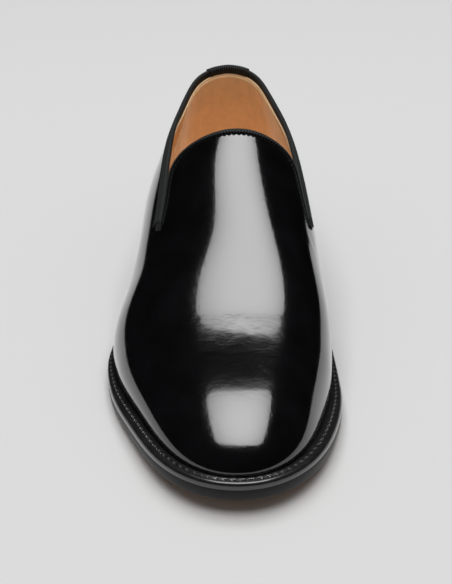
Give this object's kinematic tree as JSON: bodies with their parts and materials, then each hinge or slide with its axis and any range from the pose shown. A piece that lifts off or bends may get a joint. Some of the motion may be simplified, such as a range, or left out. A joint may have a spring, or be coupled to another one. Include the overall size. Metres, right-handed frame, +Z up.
{
  "type": "leather loafer",
  "caption": "Right slip-on dress loafer in polished black leather: ribbon-bound collar with side slits, stitched welt, leather sole and low stacked heel.",
  "frame": {"origin": "middle of the sole's plan outline, on the floor", "axes": "+Z up, -Y towards the toe, +X towards the big toe side"},
  "size_m": [0.1078, 0.3016, 0.0968],
  "materials": {
    "upper_leather": "polished to a high shine",
    "ribbon": "ribbed grosgrain, matt",
    "insole_leather": "smooth, matt",
    "welt_leather": "inked, satin",
    "sole_leather": "inked edge, satin",
    "heel_rubber": "matt"
  },
  "bodies": {
    "root": {"upper": "upper_leather", "quarter_binding": "ribbon", "throat_binding": "ribbon", "heel_tab": "ribbon", "insole": "insole_leather", "welt": "welt_leather", "outsole": "sole_leather", "heel_stack": "sole_leather", "top_piece": "heel_rubber"}
  },
  "joints": []
}
